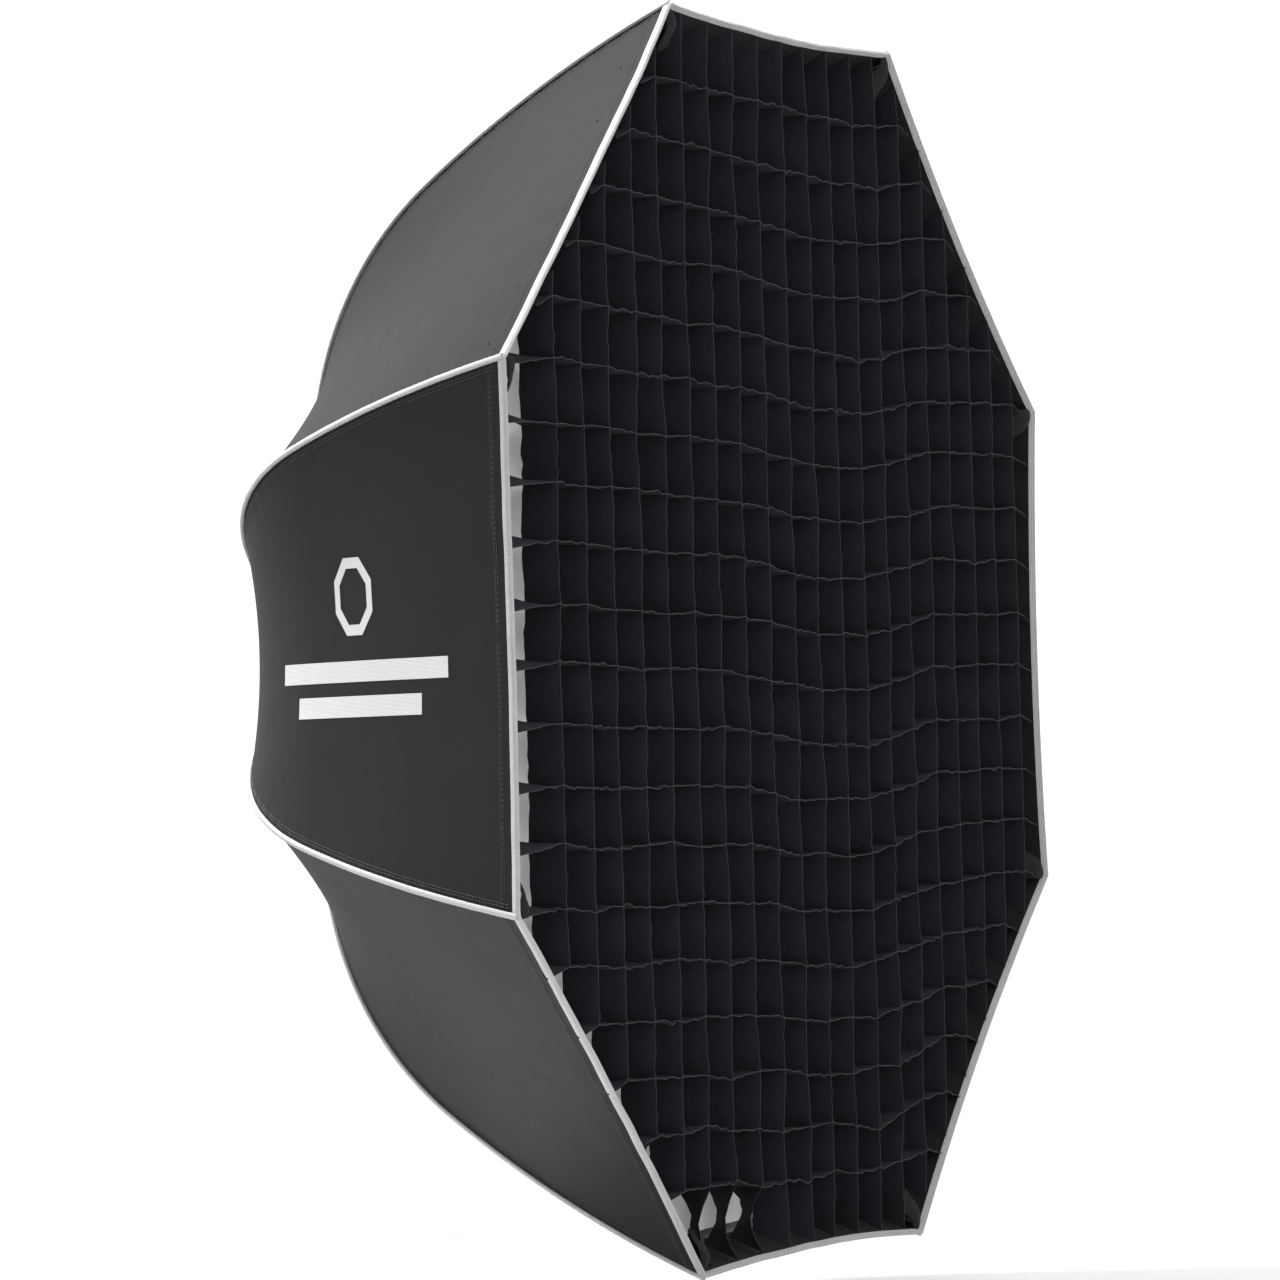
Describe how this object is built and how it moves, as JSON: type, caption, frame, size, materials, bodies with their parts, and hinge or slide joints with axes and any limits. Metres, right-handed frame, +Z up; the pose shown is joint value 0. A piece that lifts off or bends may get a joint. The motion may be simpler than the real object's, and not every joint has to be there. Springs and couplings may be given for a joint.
{
  "type": "octagonal softbox",
  "caption": "Folding octagonal umbrella softbox with ribs, struts, a sliding runner, a rear bayonet mount, white diffusers and a cloth egg-crate grid.",
  "frame": {"origin": "centre of the light mount, on the mount plate's rear face", "axes": "+Y along the optical axis, towards the light; the open front faces -Y; +Z up with a flat side of the octagon uppermost"},
  "size_m": [1.107, 0.5212, 1.107],
  "materials": {
    "canopy_cloth": "black coated nylon",
    "diffusion_cloth": "matt white",
    "grid_cloth": "matt",
    "webbing": "ribbed",
    "elastic": "ribbed",
    "rib_steel": "drawn",
    "strut_metal": "satin",
    "mount_metal": "brushed",
    "post_metal": "satin",
    "fastener_steel": "satin",
    "crown_plastic": "fine texture",
    "runner_plastic": "fine texture",
    "button_plastic": "satin"
  },
  "bodies": {
    "speedring": {"mount_plate": "mount_metal", "plate_screws": "fastener_steel", "crown": "crown_plastic", "hinge_pins": "fastener_steel", "guide_posts": "post_metal", "stop_ring": "crown_plastic", "rear_collar": "webbing", "grid": "grid_cloth", "diffuser": "diffusion_cloth", "inner_baffle": "diffusion_cloth"},
    "runner": {"runner": "runner_plastic"},
    "release_button_right": {"release_button_right": "button_plastic"},
    "release_button_left": {"release_button_left": "button_plastic"},
    "rib_1": {"rib_1": "rib_steel", "canopy_1": "canopy_cloth"},
    "strut_1": {"strut_1": "strut_metal"},
    "cover_corner_1": {"cover_tab_1": "webbing"},
    "baffle_corner_1": {"baffle_strap_1": "elastic"},
    "rib_2": {"rib_2": "rib_steel", "canopy_2": "canopy_cloth"},
    "strut_2": {"strut_2": "strut_metal"},
    "cover_corner_2": {"cover_tab_2": "webbing"},
    "baffle_corner_2": {"baffle_strap_2": "elastic"},
    "rib_3": {"rib_3": "rib_steel", "canopy_3": "canopy_cloth"},
    "strut_3": {"strut_3": "strut_metal"},
    "cover_corner_3": {"cover_tab_3": "webbing"},
    "baffle_corner_3": {"baffle_strap_3": "elastic"},
    "rib_4": {"rib_4": "rib_steel", "canopy_4": "canopy_cloth"},
    "strut_4": {"strut_4": "strut_metal"},
    "cover_corner_4": {"cover_tab_4": "webbing"},
    "baffle_corner_4": {"baffle_strap_4": "elastic"},
    "rib_5": {"rib_5": "rib_steel", "canopy_5": "canopy_cloth"},
    "strut_5": {"strut_5": "strut_metal"},
    "cover_corner_5": {"cover_tab_5": "webbing"},
    "baffle_corner_5": {"baffle_strap_5": "elastic"},
    "rib_6": {"rib_6": "rib_steel", "canopy_6": "canopy_cloth"},
    "strut_6": {"strut_6": "strut_metal"},
    "cover_corner_6": {"cover_tab_6": "webbing"},
    "baffle_corner_6": {"baffle_strap_6": "elastic"},
    "rib_7": {"rib_7": "rib_steel", "canopy_7": "canopy_cloth"},
    "strut_7": {"strut_7": "strut_metal"},
    "cover_corner_7": {"cover_tab_7": "webbing"},
    "baffle_corner_7": {"baffle_strap_7": "elastic"},
    "rib_8": {"rib_8": "rib_steel", "canopy_8": "canopy_cloth"},
    "strut_8": {"strut_8": "strut_metal"},
    "cover_corner_8": {"cover_tab_8": "webbing"},
    "baffle_corner_8": {"baffle_strap_8": "elastic"}
  },
  "joints": [
    {"name": "fold", "type": "hinge", "parent": "speedring", "child": "rib_1", "pos_m": [0.06929, -0.016, 0.0287], "axis": [0.3827, 0, -0.9239], "range_deg": [0, 48], "deforming": ["canopy_1", "cover_tab_1", "baffle_strap_1", "canopy_2", "cover_tab_2", "baffle_strap_2", "canopy_3", "cover_tab_3", "baffle_strap_3", "canopy_4", "cover_tab_4", "baffle_strap_4", "canopy_5", "cover_tab_5", "baffle_strap_5", "canopy_6", "cover_tab_6", "baffle_strap_6", "canopy_7", "cover_tab_7", "baffle_strap_7", "canopy_8", "cover_tab_8", "baffle_strap_8", "grid", "diffuser", "inner_baffle"]},
    {"name": "strut_1_swing", "type": "hinge", "parent": "rib_1", "child": "strut_1", "pos_m": [0.09533, -0.03796, 0.03949], "axis": [0.3827, 0, -0.9239], "range_deg": [-80.52, 0]},
    {"name": "cover_corner_1_turn", "type": "hinge", "parent": "rib_1", "child": "cover_corner_1", "pos_m": [0.54385, -0.50623, 0.22527], "axis": [0.3827, 0, -0.9239], "range_deg": [0, 42.5]},
    {"name": "baffle_corner_1_turn", "type": "hinge", "parent": "rib_1", "child": "baffle_corner_1", "pos_m": [0.45866, -0.31973, 0.18998], "axis": [0.3827, 0, -0.9239], "range_deg": [0, 36.5]},
    {"name": "rib_2_fold", "type": "hinge", "parent": "speedring", "child": "rib_2", "pos_m": [0.0287, -0.016, 0.06929], "axis": [0.9239, 0, -0.3827], "range_deg": [0, 48]},
    {"name": "strut_2_swing", "type": "hinge", "parent": "rib_2", "child": "strut_2", "pos_m": [0.03949, -0.03796, 0.09533], "axis": [0.9239, 0, -0.3827], "range_deg": [-80.52, 0]},
    {"name": "cover_corner_2_turn", "type": "hinge", "parent": "rib_2", "child": "cover_corner_2", "pos_m": [0.22527, -0.50623, 0.54385], "axis": [0.9239, 0, -0.3827], "range_deg": [0, 42.5]},
    {"name": "baffle_corner_2_turn", "type": "hinge", "parent": "rib_2", "child": "baffle_corner_2", "pos_m": [0.18998, -0.31973, 0.45866], "axis": [0.9239, 0, -0.3827], "range_deg": [0, 36.5]},
    {"name": "rib_3_fold", "type": "hinge", "parent": "speedring", "child": "rib_3", "pos_m": [-0.0287, -0.016, 0.06929], "axis": [0.9239, 0, 0.3827], "range_deg": [0, 48]},
    {"name": "strut_3_swing", "type": "hinge", "parent": "rib_3", "child": "strut_3", "pos_m": [-0.03949, -0.03796, 0.09533], "axis": [0.9239, 0, 0.3827], "range_deg": [-80.52, 0]},
    {"name": "cover_corner_3_turn", "type": "hinge", "parent": "rib_3", "child": "cover_corner_3", "pos_m": [-0.22527, -0.50623, 0.54385], "axis": [0.9239, 0, 0.3827], "range_deg": [0, 42.5]},
    {"name": "baffle_corner_3_turn", "type": "hinge", "parent": "rib_3", "child": "baffle_corner_3", "pos_m": [-0.18998, -0.31973, 0.45866], "axis": [0.9239, 0, 0.3827], "range_deg": [0, 36.5]},
    {"name": "rib_4_fold", "type": "hinge", "parent": "speedring", "child": "rib_4", "pos_m": [-0.06929, -0.016, 0.0287], "axis": [0.3827, 0, 0.9239], "range_deg": [0, 48]},
    {"name": "strut_4_swing", "type": "hinge", "parent": "rib_4", "child": "strut_4", "pos_m": [-0.09533, -0.03796, 0.03949], "axis": [0.3827, 0, 0.9239], "range_deg": [-80.52, 0]},
    {"name": "cover_corner_4_turn", "type": "hinge", "parent": "rib_4", "child": "cover_corner_4", "pos_m": [-0.54385, -0.50623, 0.22527], "axis": [0.3827, 0, 0.9239], "range_deg": [0, 42.5]},
    {"name": "baffle_corner_4_turn", "type": "hinge", "parent": "rib_4", "child": "baffle_corner_4", "pos_m": [-0.45866, -0.31973, 0.18998], "axis": [0.3827, 0, 0.9239], "range_deg": [0, 36.5]},
    {"name": "rib_5_fold", "type": "hinge", "parent": "speedring", "child": "rib_5", "pos_m": [-0.06929, -0.016, -0.0287], "axis": [-0.3827, 0, 0.9239], "range_deg": [0, 48]},
    {"name": "strut_5_swing", "type": "hinge", "parent": "rib_5", "child": "strut_5", "pos_m": [-0.09533, -0.03796, -0.03949], "axis": [-0.3827, 0, 0.9239], "range_deg": [-80.52, 0]},
    {"name": "cover_corner_5_turn", "type": "hinge", "parent": "rib_5", "child": "cover_corner_5", "pos_m": [-0.54385, -0.50623, -0.22527], "axis": [-0.3827, 0, 0.9239], "range_deg": [0, 42.5]},
    {"name": "baffle_corner_5_turn", "type": "hinge", "parent": "rib_5", "child": "baffle_corner_5", "pos_m": [-0.45866, -0.31973, -0.18998], "axis": [-0.3827, 0, 0.9239], "range_deg": [0, 36.5]},
    {"name": "rib_6_fold", "type": "hinge", "parent": "speedring", "child": "rib_6", "pos_m": [-0.0287, -0.016, -0.06929], "axis": [-0.9239, 0, 0.3827], "range_deg": [0, 48]},
    {"name": "strut_6_swing", "type": "hinge", "parent": "rib_6", "child": "strut_6", "pos_m": [-0.03949, -0.03796, -0.09533], "axis": [-0.9239, 0, 0.3827], "range_deg": [-80.52, 0]},
    {"name": "cover_corner_6_turn", "type": "hinge", "parent": "rib_6", "child": "cover_corner_6", "pos_m": [-0.22527, -0.50623, -0.54385], "axis": [-0.9239, 0, 0.3827], "range_deg": [0, 42.5]},
    {"name": "baffle_corner_6_turn", "type": "hinge", "parent": "rib_6", "child": "baffle_corner_6", "pos_m": [-0.18998, -0.31973, -0.45866], "axis": [-0.9239, 0, 0.3827], "range_deg": [0, 36.5]},
    {"name": "rib_7_fold", "type": "hinge", "parent": "speedring", "child": "rib_7", "pos_m": [0.0287, -0.016, -0.06929], "axis": [-0.9239, 0, -0.3827], "range_deg": [0, 48]},
    {"name": "strut_7_swing", "type": "hinge", "parent": "rib_7", "child": "strut_7", "pos_m": [0.03949, -0.03796, -0.09533], "axis": [-0.9239, 0, -0.3827], "range_deg": [-80.52, 0]},
    {"name": "cover_corner_7_turn", "type": "hinge", "parent": "rib_7", "child": "cover_corner_7", "pos_m": [0.22527, -0.50623, -0.54385], "axis": [-0.9239, 0, -0.3827], "range_deg": [0, 42.5]},
    {"name": "baffle_corner_7_turn", "type": "hinge", "parent": "rib_7", "child": "baffle_corner_7", "pos_m": [0.18998, -0.31973, -0.45866], "axis": [-0.9239, 0, -0.3827], "range_deg": [0, 36.5]},
    {"name": "rib_8_fold", "type": "hinge", "parent": "speedring", "child": "rib_8", "pos_m": [0.06929, -0.016, -0.0287], "axis": [-0.3827, 0, -0.9239], "range_deg": [0, 48]},
    {"name": "strut_8_swing", "type": "hinge", "parent": "rib_8", "child": "strut_8", "pos_m": [0.09533, -0.03796, -0.03949], "axis": [-0.3827, 0, -0.9239], "range_deg": [-80.52, 0]},
    {"name": "cover_corner_8_turn", "type": "hinge", "parent": "rib_8", "child": "cover_corner_8", "pos_m": [0.54385, -0.50623, -0.22527], "axis": [-0.3827, 0, -0.9239], "range_deg": [0, 42.5]},
    {"name": "baffle_corner_8_turn", "type": "hinge", "parent": "rib_8", "child": "baffle_corner_8", "pos_m": [0.45866, -0.31973, -0.18998], "axis": [-0.3827, 0, -0.9239], "range_deg": [0, 36.5]},
    {"name": "runner_slide", "type": "slide", "parent": "speedring", "child": "runner", "axis": [0, -1, 0], "range_m": [0, 0.02671]},
    {"name": "release_button_right_press", "type": "slide", "parent": "runner", "child": "release_button_right", "axis": [-1, 0, 0], "range_m": [0, 0.002], "stiffness_N_per_m": 400, "springref_m": -0.002},
    {"name": "release_button_left_press", "type": "slide", "parent": "runner", "child": "release_button_left", "axis": [1, 0, 0], "range_m": [0, 0.002], "stiffness_N_per_m": 400, "springref_m": -0.002}
  ],
  "couplings": [
    {"joint": "strut_1_swing", "follows": "fold", "ratio": -1.667},
    {"joint": "cover_corner_1_turn", "follows": "fold", "ratio": 0.875},
    {"joint": "baffle_corner_1_turn", "follows": "fold", "ratio": 0.75},
    {"joint": "rib_2_fold", "follows": "fold", "ratio": 1},
    {"joint": "strut_2_swing", "follows": "fold", "ratio": -1.667},
    {"joint": "cover_corner_2_turn", "follows": "fold", "ratio": 0.875},
    {"joint": "baffle_corner_2_turn", "follows": "fold", "ratio": 0.75},
    {"joint": "rib_3_fold", "follows": "fold", "ratio": 1},
    {"joint": "strut_3_swing", "follows": "fold", "ratio": -1.667},
    {"joint": "cover_corner_3_turn", "follows": "fold", "ratio": 0.875},
    {"joint": "baffle_corner_3_turn", "follows": "fold", "ratio": 0.75},
    {"joint": "rib_4_fold", "follows": "fold", "ratio": 1},
    {"joint": "strut_4_swing", "follows": "fold", "ratio": -1.667},
    {"joint": "cover_corner_4_turn", "follows": "fold", "ratio": 0.875},
    {"joint": "baffle_corner_4_turn", "follows": "fold", "ratio": 0.75},
    {"joint": "rib_5_fold", "follows": "fold", "ratio": 1},
    {"joint": "strut_5_swing", "follows": "fold", "ratio": -1.667},
    {"joint": "cover_corner_5_turn", "follows": "fold", "ratio": 0.875},
    {"joint": "baffle_corner_5_turn", "follows": "fold", "ratio": 0.75},
    {"joint": "rib_6_fold", "follows": "fold", "ratio": 1},
    {"joint": "strut_6_swing", "follows": "fold", "ratio": -1.667},
    {"joint": "cover_corner_6_turn", "follows": "fold", "ratio": 0.875},
    {"joint": "baffle_corner_6_turn", "follows": "fold", "ratio": 0.75},
    {"joint": "rib_7_fold", "follows": "fold", "ratio": 1},
    {"joint": "strut_7_swing", "follows": "fold", "ratio": -1.667},
    {"joint": "cover_corner_7_turn", "follows": "fold", "ratio": 0.875},
    {"joint": "baffle_corner_7_turn", "follows": "fold", "ratio": 0.75},
    {"joint": "rib_8_fold", "follows": "fold", "ratio": 1},
    {"joint": "strut_8_swing", "follows": "fold", "ratio": -1.667},
    {"joint": "cover_corner_8_turn", "follows": "fold", "ratio": 0.875},
    {"joint": "baffle_corner_8_turn", "follows": "fold", "ratio": 0.75},
    {"joint": "runner_slide", "follows": "fold", "m_per_rad": 0.031645}
  ]
}
